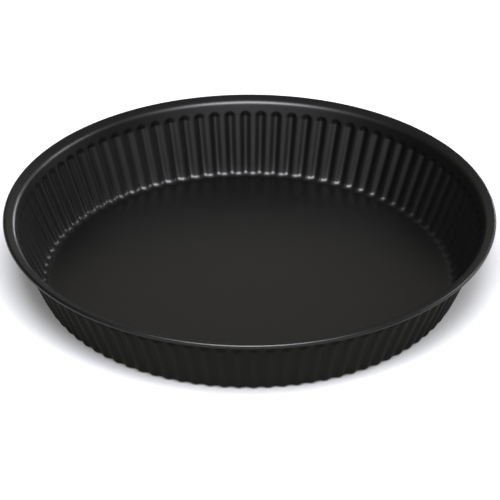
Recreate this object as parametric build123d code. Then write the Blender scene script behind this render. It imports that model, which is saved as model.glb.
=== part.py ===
from build123d import *
import os
from math import cos, hypot, pi, radians, sin

# One-piece fluted tart pan, pressed from a single blank of steel sheet.
# Frame: +Z up, origin at the centre of the flat underside of the base.
# All lengths in mm, all angles in degrees.

rim_diameter = 290.0        # over the curled edge
height = 44.0               # underside of the base to the top of the curled edge
sheet = 0.6                 # steel with its coating
wall_flare = 23.5           # lean of the wall away from the vertical
flutes = 90
groove_depth = 1.6          # each groove is pressed outwards from the plain cone
groove_share = 0.88         # width of a groove as a share of the pitch
depth_at_base = 0.65        # depth at the edge of the base, as a share of the full depth
growth = 14.0               # length along the section in which a groove gets its full depth
corner_radius = 4.5         # inside, between the base and the wall
bend_radius = 4.5           # top side, where the wall turns out into the flange
collar = 3.3                # plain wall between the groove tops and the bend
flange_width = 3.2          # straight part of the flange between the bend and the curl
flange_slope = 22.0         # rise of the flange outwards
bead_radius = 1.5           # outside radius of the curled edge
bead_turn = 266.0           # how far the edge is rolled under

wall_steps, flute_steps = 26, 14    # resolution of the fluted surfaces
end_crowding = 0.75                 # closer rows at the corner and at the groove tops

pitch = 360.0 / flutes
rise = 90.0 - wall_flare

# Section of the top side, walked from the base outwards: corner, wall, bend, flange
# and curl. It is placed from the curl inwards, so that the rim has its full diameter.
turn_out = rise - flange_slope
flange_r = (rim_diameter / 2 - bead_radius * (1 + sin(radians(flange_slope)))
            - flange_width * cos(radians(flange_slope)))
flange_z = (height - bead_radius * (1 - cos(radians(flange_slope)))
            - flange_width * sin(radians(flange_slope)))
bend_foot_r = flange_r - bend_radius * (sin(radians(rise)) - sin(radians(flange_slope)))
bend_foot_z = flange_z - bend_radius * (cos(radians(flange_slope)) - cos(radians(rise)))
corner_top_z = sheet + corner_radius * (1 - cos(radians(rise)))
wall_length = (bend_foot_z - corner_top_z) / sin(radians(rise))
corner_top_r = bend_foot_r - wall_length * cos(radians(rise))
base_radius = corner_top_r - corner_radius * sin(radians(rise))

# Length along the section, and turn to the left (+) or right (-), of each stretch.
corner = (corner_radius * radians(rise), rise)
fluted_wall = (wall_length - collar, 0.0)
plain_wall = (collar, 0.0)
bend = (bend_radius * radians(turn_out), -turn_out)
flange = (flange_width, 0.0)
curl = (bead_radius * radians(bead_turn), -bead_turn)
stretches = [corner, fluted_wall, plain_wall, bend, flange, curl]
groove_end = corner[0] + fluted_wall[0]


def section(s):
    """Radius, height and heading of the plain top side at a distance s along it."""
    r, z, heading = base_radius, sheet, 0.0
    for length, turn in stretches:
        part = min(s, length)
        if turn == 0.0:
            r += part * cos(radians(heading))
            z += part * sin(radians(heading))
        else:
            radius = length / radians(turn)
            new = heading + turn * part / length
            r += radius * (sin(radians(new)) - sin(radians(heading)))
            z -= radius * (cos(radians(new)) - cos(radians(heading)))
            heading = new
        s -= part
        if s <= 0:
            break
    return r, z, heading


def plain(s, depth):
    """A point of the plain section, as far as depth into the sheet."""
    r, z, heading = section(s)
    return Vector(r + depth * sin(radians(heading)), 0, z - depth * cos(radians(heading)))


def top_side(s, across):
    """A point of the fluted wall; across runs from one ridge (0) to the next (1)."""
    r, z, _ = section(s)
    half_pitch = pi * r / flutes
    half_width = groove_share * half_pitch
    side = (2 * (across % 1.0) - 1) * half_pitch
    past = max(0.0, s - (groove_end - half_width))
    reach = min(1.0, hypot(side, past) / half_width)
    grown = (1 - cos(pi * min(1.0, s / growth))) / 2
    depth = groove_depth * (depth_at_base + (1 - depth_at_base) * grown)
    r += depth * (1 + cos(pi * reach)) / 2
    angle = radians(across * pitch)
    return Vector(r * cos(angle), r * sin(angle), z)


def underside(s, across):
    """The same point carried through the sheet, square to its surface."""
    step = 1e-6
    along = top_side(s + step, across) - top_side(max(s - step, 0), across)
    over = top_side(s, across + step) - top_side(s, across - step)
    return top_side(s, across) + over.cross(along).normalized() * sheet


def row(k):
    """Distance along the section of row k of the fluted surfaces."""
    t = k / wall_steps
    return groove_end * (t - end_crowding * sin(2 * pi * t) / (2 * pi))


def flute(side):
    points = [[side(row(k), i / flute_steps) for i in range(flute_steps + 1)]
              for k in range(wall_steps + 1)]
    return Face.make_surface_from_array_of_points(points, tol=1e-5, min_deg=3)


def rim(depth):
    """Section of the bend, flange and curl at a depth in the sheet."""
    edges, s = [], groove_end + collar
    for length, turn in stretches[3:]:
        start, middle, end = (plain(s + length * t, depth) for t in (0, 0.5, 1))
        edges.append(Edge.make_three_point_arc(start, middle, end) if turn
                     else Edge.make_line(start, end))
        s += length
    return edges


def foot(face):
    return face.edges().sort_by(Axis.Z)[0]


def head(face):
    return face.edges().sort_by(Axis.Z)[-1]


# One flute's share of the pan: fluted panel, plain wall, bend, flange and curl on both
# sides of the sheet, and the cut edge at the end of the curl.
share, panels, tips = [], [], []
for side, depth in ((top_side, 0.0), (underside, sheet)):
    panel = flute(side)
    turned = [Face.revolve(edge, pitch, Axis.Z) for edge in rim(depth)]
    plain_wall_face = Face.make_surface_from_curves(head(panel), foot(turned[0]))
    share += [panel, plain_wall_face] + turned
    panels.append(panel)
    tips.append(rim(depth)[-1] @ 1)
share.append(Face.revolve(Edge.make_line(*tips), pitch, Axis.Z))

turns = [Rot(0, 0, pitch * i) for i in range(flutes)]
faces = [turn * face for face in share for turn in turns]
faces += [Face(Wire([turn * foot(panel) for turn in turns])) for panel in panels]

pan_shell = Solid(Shell(faces))
pan_shell.label = "pan_shell"

os.makedirs("parts", exist_ok=True)
export_step(pan_shell, "parts/pan_shell.step")
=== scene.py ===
from math import cos, hypot, pi, radians, sin

import bpy
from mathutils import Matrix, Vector


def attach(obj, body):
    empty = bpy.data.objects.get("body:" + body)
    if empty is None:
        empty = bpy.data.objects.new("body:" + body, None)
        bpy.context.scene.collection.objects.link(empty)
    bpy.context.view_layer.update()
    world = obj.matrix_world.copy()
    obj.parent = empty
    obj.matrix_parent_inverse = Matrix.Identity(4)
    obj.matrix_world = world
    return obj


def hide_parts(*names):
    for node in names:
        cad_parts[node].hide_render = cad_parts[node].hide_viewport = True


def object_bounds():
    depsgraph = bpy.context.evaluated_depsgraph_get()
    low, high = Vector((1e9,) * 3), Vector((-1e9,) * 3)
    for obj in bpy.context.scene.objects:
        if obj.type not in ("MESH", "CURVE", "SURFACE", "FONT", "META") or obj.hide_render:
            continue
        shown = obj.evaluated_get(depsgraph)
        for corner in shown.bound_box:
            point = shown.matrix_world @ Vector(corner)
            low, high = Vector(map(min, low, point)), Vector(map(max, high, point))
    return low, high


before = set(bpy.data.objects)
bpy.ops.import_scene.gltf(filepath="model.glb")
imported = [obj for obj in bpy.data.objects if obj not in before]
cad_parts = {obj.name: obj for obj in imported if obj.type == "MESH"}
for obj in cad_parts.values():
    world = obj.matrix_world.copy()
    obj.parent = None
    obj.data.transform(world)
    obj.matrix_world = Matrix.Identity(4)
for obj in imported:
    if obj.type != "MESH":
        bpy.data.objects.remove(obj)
cad_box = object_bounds()

# A one-piece fluted tart pan with a satin black non-stick coating, on a pale floor.
# Lengths in metres, angles in degrees.

# ---------------------------------------------------------------- dimensions
lowest, highest = cad_box
RIM_RADIUS = (highest.x - lowest.x) / 2     # over the curled edge
HEIGHT = highest.z
SHEET = 0.0006              # steel with its coating
WALL_FLARE = 23.5           # lean of the wall away from the vertical
FLUTES = 90
GROOVE_DEPTH = 0.0016       # each groove is pressed outwards from the plain cone
GROOVE_SHARE = 0.88         # width of a groove as a share of the pitch
DEPTH_AT_BASE = 0.65        # depth at the edge of the base, as a share of the full depth
GROWTH = 0.014              # length along the section in which a groove gets its full depth
CORNER_RADIUS = 0.0045      # inside, between the base and the wall
BEND_RADIUS = 0.0045        # top side, where the wall turns out into the flange
COLLAR = 0.0033             # plain wall between the groove tops and the bend
FLANGE_WIDTH = 0.0032       # straight part of the flange between the bend and the curl
FLANGE_SLOPE = 22.0         # rise of the flange outwards
BEAD_RADIUS = 0.0015        # outside radius of the curled edge
BEAD_TURN = 266.0           # how far the edge is rolled under
RISE = 90.0 - WALL_FLARE

# Resolution of the mesh
ARCHES = 0.005              # length of the groove tops, which have closer rows
FLUTE_STEPS = 16            # columns in one flute
COLUMNS = FLUTES * FLUTE_STEPS
BASE_RINGS = (0.25, 0.5, 0.75, 0.9, 0.97)   # radii in the base, as shares of its edge


def sine(degrees):
    return sin(radians(degrees))


def cosine(degrees):
    return cos(radians(degrees))


# Section of the top side, placed from the curl inwards, so that the rim has its full radius.
flange_r = RIM_RADIUS - BEAD_RADIUS * (1 + sine(FLANGE_SLOPE)) - FLANGE_WIDTH * cosine(FLANGE_SLOPE)
flange_z = HEIGHT - BEAD_RADIUS * (1 - cosine(FLANGE_SLOPE)) - FLANGE_WIDTH * sine(FLANGE_SLOPE)
bend_foot_r = flange_r - BEND_RADIUS * (sine(RISE) - sine(FLANGE_SLOPE))
bend_foot_z = flange_z - BEND_RADIUS * (cosine(FLANGE_SLOPE) - cosine(RISE))
corner_top_z = SHEET + CORNER_RADIUS * (1 - cosine(RISE))
wall_length = (bend_foot_z - corner_top_z) / sine(RISE)
corner_top_r = bend_foot_r - wall_length * cosine(RISE)
base_radius = corner_top_r - CORNER_RADIUS * sine(RISE)

# Length, turn to the left (+) or right (-), and rows of each stretch, from the base outwards.
corner = (CORNER_RADIUS * radians(RISE), RISE, 8)
grooves = (wall_length - COLLAR - ARCHES, 0.0, 10)
arches = (ARCHES, 0.0, 12)
collar = (COLLAR, 0.0, 3)
bend = (BEND_RADIUS * radians(RISE - FLANGE_SLOPE), FLANGE_SLOPE - RISE, 8)
flange = (FLANGE_WIDTH, 0.0, 3)
curl = (BEAD_RADIUS * radians(BEAD_TURN), -BEAD_TURN, 18)
STRETCHES = [corner, grooves, arches, collar, bend, flange, curl]
groove_end = corner[0] + grooves[0] + arches[0]


# ---------------------------------------------------------------- shape of the sheet
def section(s):
    """Radius and height of the plain top side at a distance s along the section."""
    r, z, heading = base_radius, SHEET, 0.0
    for length, turn, _ in STRETCHES:
        part = min(s, length)
        if turn == 0.0:
            r += part * cosine(heading)
            z += part * sine(heading)
        else:
            radius = length / radians(turn)
            new = heading + turn * part / length
            r += radius * (sine(new) - sine(heading))
            z -= radius * (cosine(new) - cosine(heading))
            heading = new
        s -= part
        if s <= 0:
            break
    return r, z


def groove(s, r, across):
    """How far the sheet is pressed out at s; across runs from one ridge (0) to the next (1)."""
    half_pitch = pi * r / FLUTES
    half_width = GROOVE_SHARE * half_pitch
    side = (2 * (across % 1.0) - 1) * half_pitch
    past = max(0.0, s - (groove_end - half_width))
    reach = min(1.0, hypot(side, past) / half_width)
    grown = (1 - cos(pi * min(1.0, s / GROWTH))) / 2
    depth = GROOVE_DEPTH * (DEPTH_AT_BASE + (1 - DEPTH_AT_BASE) * grown)
    return depth * (1 + cos(pi * reach)) / 2


def top_point(s, across):
    """A point of the top side of the first flute."""
    r, z = section(s)
    r += groove(s, r, across)
    angle = 2 * pi * across / FLUTES
    return Vector((r * cos(angle), r * sin(angle), z))


def under_point(s, across):
    """The same point carried through the sheet, square to its surface."""
    step_along, step_over = 1e-6, 1e-3
    along = top_point(s + step_along, across) - top_point(max(s - step_along, 0.0), across)
    over = top_point(s, across + step_over) - top_point(s, across - step_over)
    return top_point(s, across) + over.cross(along).normalized() * SHEET


# ---------------------------------------------------------------- mesh
def row_distances():
    """Distance along the section of each row of points."""
    rows = [0.0]
    for length, _, count in STRETCHES:
        start = rows[-1]
        rows += [start + length * (i + 1) / count for i in range(count)]
    return rows


def wall_rings(point):
    """The rings of points of one side of the sheet, from the edge of the base to the curl."""
    rings = []
    for s in row_distances():
        flute = [point(s, i / FLUTE_STEPS) for i in range(FLUTE_STEPS)]
        ring = []
        for k in range(FLUTES):
            angle = 2 * pi * k / FLUTES
            c, n = cos(angle), sin(angle)
            ring += [(p.x * c - p.y * n, p.x * n + p.y * c, p.z) for p in flute]
        rings.append(ring)
    return rings


def base_rings(edge, z):
    """Rings inside the scalloped edge of the base, from near its centre outwards."""
    return [[(x * share, y * share, z) for x, y, _ in edge] for share in BASE_RINGS]


verts, faces = [], []


def add_ring(ring):
    """Adds a ring of points and gives the index of its first."""
    start = len(verts)
    verts.extend(ring)
    return start


def bridge(inner, outer, flip):
    """Joins two rings with quads, which face up unless flipped."""
    for i in range(COLUMNS):
        j = (i + 1) % COLUMNS
        quad = (outer + i, outer + j, inner + j, inner + i)
        faces.append(quad[::-1] if flip else quad)


def side_of_sheet(point, z, flip):
    """Builds one side of the sheet, its base at height z, and gives its last ring."""
    rings = wall_rings(point)
    starts = [add_ring(ring) for ring in base_rings(rings[0], z) + rings]
    centre = len(verts)
    verts.append((0.0, 0.0, z))
    for i in range(COLUMNS):
        triangle = (centre, starts[0] + i, starts[0] + (i + 1) % COLUMNS)
        faces.append(triangle[::-1] if flip else triangle)
    for inner, outer in zip(starts, starts[1:]):
        bridge(inner, outer, flip)
    return starts[-1]


top_tip = side_of_sheet(top_point, SHEET, False)
under_tip = side_of_sheet(under_point, 0.0, True)
bridge(top_tip, under_tip, False)

mesh = bpy.data.meshes.new("fluted_pan")
mesh.from_pydata(verts, [], faces)
mesh.validate()
mesh.shade_smooth()
pan = bpy.data.objects.new("fluted_pan", mesh)
bpy.context.collection.objects.link(pan)


# ---------------------------------------------------------------- shader nodes
def add_node(tree, kind, inputs, **settings):
    """A node with its settings; each input is set to a value or linked to a socket."""
    node = tree.nodes.new(kind)
    for name, value in settings.items():
        setattr(node, name, value)
    for name, value in inputs.items():
        if isinstance(value, bpy.types.NodeSocket):
            tree.links.new(value, node.inputs[name])
        else:
            node.inputs[name].default_value = value
    return node


def calculate(tree, operation, a, b):
    return add_node(tree, "ShaderNodeMath", {0: a, 1: b}, operation=operation).outputs["Value"]


def separate(tree, vector):
    return add_node(tree, "ShaderNodeSeparateXYZ", {"Vector": vector}).outputs


def ramp(tree, value, start, end, low=0.0, high=1.0):
    """Goes from low to high as the value goes from start to end."""
    inputs = {"Value": value, "From Min": start, "From Max": end, "To Min": low, "To Max": high}
    return add_node(tree, "ShaderNodeMapRange", inputs).outputs["Result"]


def mix(tree, factor, a, b):
    inputs = {"Factor": factor, "A": a, "B": b}
    return add_node(tree, "ShaderNodeMix", inputs, data_type="RGBA").outputs["Result"]


def noise(tree, here, scale, detail):
    inputs = {"Vector": here, "Scale": scale, "Detail": detail}
    return add_node(tree, "ShaderNodeTexNoise", inputs).outputs["Fac"]


# ---------------------------------------------------------------- coating
GRAIN_SCALE, GRAIN_DETAIL = 1400.0, 3.0         # the fine grain of the coat
GRAIN_STRENGTH, GRAIN_HEIGHT = 0.12, 0.00004
CLOUD_SCALE, CLOUD_DETAIL = 28.0, 4.0           # slow variation of its tone and gloss
DARK_TONE = (0.0006, 0.0006, 0.0005, 1)
LIGHT_TONE = (0.0012, 0.0011, 0.0010, 1)
# Painted shade for the outer wall and the underside: a flat tone, and a sheen cut almost to
# nothing.
PAINTED_SHADE_TONE = (0.0105, 0.0107, 0.0090, 1)
INSIDE_SHEEN, PAINTED_SHADE_SHEEN = 0.5, 0.01
SMOOTHEST, ROUGHEST = 0.34, 0.40
COAT_IOR = 1.36
RIM_DEPTH, RIM_BLEND = 0.003, 0.001             # height of the glossy rim, and of its lower edge
AWAY_BLEND = 0.02                               # normal times place, where the outer wall begins
DOWN_START, DOWN_END = -0.10, -0.30             # Z of the normal, where the underside begins


def painted_shade_mask(tree, here):
    """Where the painted shade goes: 1 below the rim where the surface faces away from the axis, and
    wherever it faces down.
    """
    normal = add_node(tree, "ShaderNodeNewGeometry", {}).outputs["Normal"]
    flat = add_node(tree, "ShaderNodeVectorMath", {0: here, 1: (1, 1, 0)}, operation="MULTIPLY")
    away = add_node(tree, "ShaderNodeVectorMath", {0: flat.outputs["Vector"], 1: normal},
                    operation="DOT_PRODUCT").outputs["Value"]
    rim_foot = HEIGHT - RIM_DEPTH
    below_rim = ramp(tree, separate(tree, here)["Z"], rim_foot, rim_foot - RIM_BLEND)
    outer_wall = calculate(tree, "MULTIPLY", ramp(tree, away, 0.0, AWAY_BLEND), below_rim)
    facing_down = ramp(tree, separate(tree, normal)["Z"], DOWN_START, DOWN_END)
    return calculate(tree, "MAXIMUM", outer_wall, facing_down)


def coating():
    """Satin black and finely grained, with painted shade on the outer wall and the underside: there
    the sheen is cut so they don't mirror the lit floor, and a flat tone takes its place.
    """
    mat = bpy.data.materials.new("non_stick_coating")
    mat.use_nodes = True
    tree = mat.node_tree
    here = add_node(tree, "ShaderNodeTexCoord", {}).outputs["Object"]
    grain = noise(tree, here, GRAIN_SCALE, GRAIN_DETAIL)
    clouds = noise(tree, here, CLOUD_SCALE, CLOUD_DETAIL)
    # Painted shade: the mask swaps in the flat tone and the cut sheen on the outer wall and the
    # underside.
    painted_shade = painted_shade_mask(tree, here)
    tone = mix(tree, painted_shade, mix(tree, clouds, DARK_TONE, LIGHT_TONE), PAINTED_SHADE_TONE)
    bump = add_node(tree, "ShaderNodeBump", {"Strength": GRAIN_STRENGTH, "Distance": GRAIN_HEIGHT,
                                             "Height": grain})
    sockets = tree.nodes["Principled BSDF"].inputs
    tree.links.new(tone, sockets["Base Color"])
    tree.links.new(ramp(tree, painted_shade, 0.0, 1.0, INSIDE_SHEEN, PAINTED_SHADE_SHEEN),
                   sockets["Specular IOR Level"])
    tree.links.new(ramp(tree, clouds, 0.0, 1.0, SMOOTHEST, ROUGHEST), sockets["Roughness"])
    tree.links.new(bump.outputs["Normal"], sockets["Normal"])
    sockets["IOR"].default_value = COAT_IOR
    return mat


mesh.materials.append(coating())
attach(pan, "root")
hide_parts("pan_shell")

# ---------------------------------------------------------------- floor
FLOOR_HALF = 6.0
FLOOR_TONE = (0.45, 0.45, 0.45, 1)
FLOOR_GLOW = 0.12           # evens out the light on the floor
FLOOR_ROUGHNESS = 0.9


def floor():
    e = FLOOR_HALF
    sheet = bpy.data.meshes.new("floor")
    sheet.from_pydata([(-e, -e, 0), (e, -e, 0), (e, e, 0), (-e, e, 0)], [], [(0, 1, 2, 3)])
    mat = bpy.data.materials.new("floor_white")
    mat.use_nodes = True
    sockets = mat.node_tree.nodes["Principled BSDF"].inputs
    sockets["Base Color"].default_value = FLOOR_TONE
    sockets["Emission Color"].default_value = (1, 1, 1, 1)
    sockets["Emission Strength"].default_value = FLOOR_GLOW
    sockets["Roughness"].default_value = FLOOR_ROUGHNESS
    sockets["Specular IOR Level"].default_value = 0.0
    sheet.materials.append(mat)
    plane = bpy.data.objects.new("floor", sheet)
    bpy.context.collection.objects.link(plane)
    return plane


floor()

# ---------------------------------------------------------------- lights
COOL = (0.93, 0.94, 1.0)
WARM = (1.0, 0.97, 0.92)


def turn_towards(thing, target):
    """Turns a light or the camera to look at the target."""
    thing.rotation_euler = (Vector(target) - thing.location).to_track_quat("-Z", "Y").to_euler()


def softbox(name, at, aim, width, depth, power, colour):
    """A rectangular light; its power is in watts."""
    data = bpy.data.lights.new(name, "AREA")
    data.shape = "RECTANGLE"
    data.size = width
    data.size_y = depth
    data.energy = power
    data.color = colour
    light = bpy.data.objects.new(name, data)
    light.location = at
    turn_towards(light, aim)
    bpy.context.collection.objects.link(light)


softbox("overhead", at=(0.0, -0.86, 1.47), aim=(0, 0, 0), width=1.10, depth=0.72,
        power=100, colour=COOL)
softbox("back_right", at=(0.68, 1.29, 0.17), aim=(-0.10, 0, 0), width=0.25, depth=0.25,
        power=5, colour=COOL)
softbox("reflector", at=(0.0, 0.60, 0.34), aim=(0, 0, 0), width=0.32, depth=0.30,
        power=0.11, colour=WARM)
softbox("right", at=(1.30, 0.40, 0.70), aim=(0, 0, 0.03), width=0.40, depth=0.50,
        power=12, colour=COOL)

# ---------------------------------------------------------------- world
FILL_COLOUR = (1.0, 0.965, 0.90, 1)
FILL, FRONT_FILL = 0.25, 0.80       # strength all round, and what is added straight in front
SIDE_FADE = 0.95                    # share lost straight to the sides
BACK_FADE, BACK_RISE = 0.95, 1.2    # share lost low at the back, and how fast that ends upwards


def studio_world():
    """Soft fill that is brightest in front, and dim at the sides and low at the back."""
    world = bpy.data.worlds.new("studio")
    world.use_nodes = True
    tree = world.node_tree
    way = separate(tree, add_node(tree, "ShaderNodeTexCoord", {}).outputs["Generated"])

    def grade(base, change, value):
        """Base plus change times the square of the value."""
        square = calculate(tree, "MULTIPLY", value, value)
        return calculate(tree, "ADD", calculate(tree, "MULTIPLY", square, change), base)

    front = calculate(tree, "MAXIMUM", calculate(tree, "MULTIPLY", way["Y"], -1.0), 0.0)
    above = calculate(tree, "MULTIPLY", way["Z"], BACK_RISE)
    low_back = calculate(tree, "MAXIMUM", calculate(tree, "SUBTRACT", way["Y"], above), 0.0)
    strength = grade(FILL, FRONT_FILL, front)
    for fade, value in ((SIDE_FADE, way["X"]), (BACK_FADE, low_back)):
        strength = calculate(tree, "MULTIPLY", strength, grade(1.0, -fade, value))
    background = tree.nodes["Background"].inputs
    background["Color"].default_value = FILL_COLOUR
    tree.links.new(strength, background["Strength"])
    return world


bpy.context.scene.world = studio_world()

# ---------------------------------------------------------------- camera
ELEVATION = radians(31.12)
AZIMUTH = radians(-1.1)
DISTANCE = 3.0
VIEW_WIDTH = 0.295055       # across the picture, at the target
TARGET = Vector((0.00024, 0.0, 0.0197))
SENSOR = 36.0               # millimetres, as the lens is
FARTHEST = 50.0

cam_data = bpy.data.cameras.new("camera")
cam_data.sensor_width = SENSOR
cam_data.lens = SENSOR * DISTANCE / VIEW_WIDTH
cam_data.clip_end = FARTHEST
cam = bpy.data.objects.new("camera", cam_data)
cam.location = TARGET + DISTANCE * Vector((sin(AZIMUTH) * cos(ELEVATION),
                                          -cos(AZIMUTH) * cos(ELEVATION), sin(ELEVATION)))
turn_towards(cam, TARGET)
bpy.context.collection.objects.link(cam)
bpy.context.scene.camera = cam
bpy.context.scene.view_settings.view_transform = "Standard"
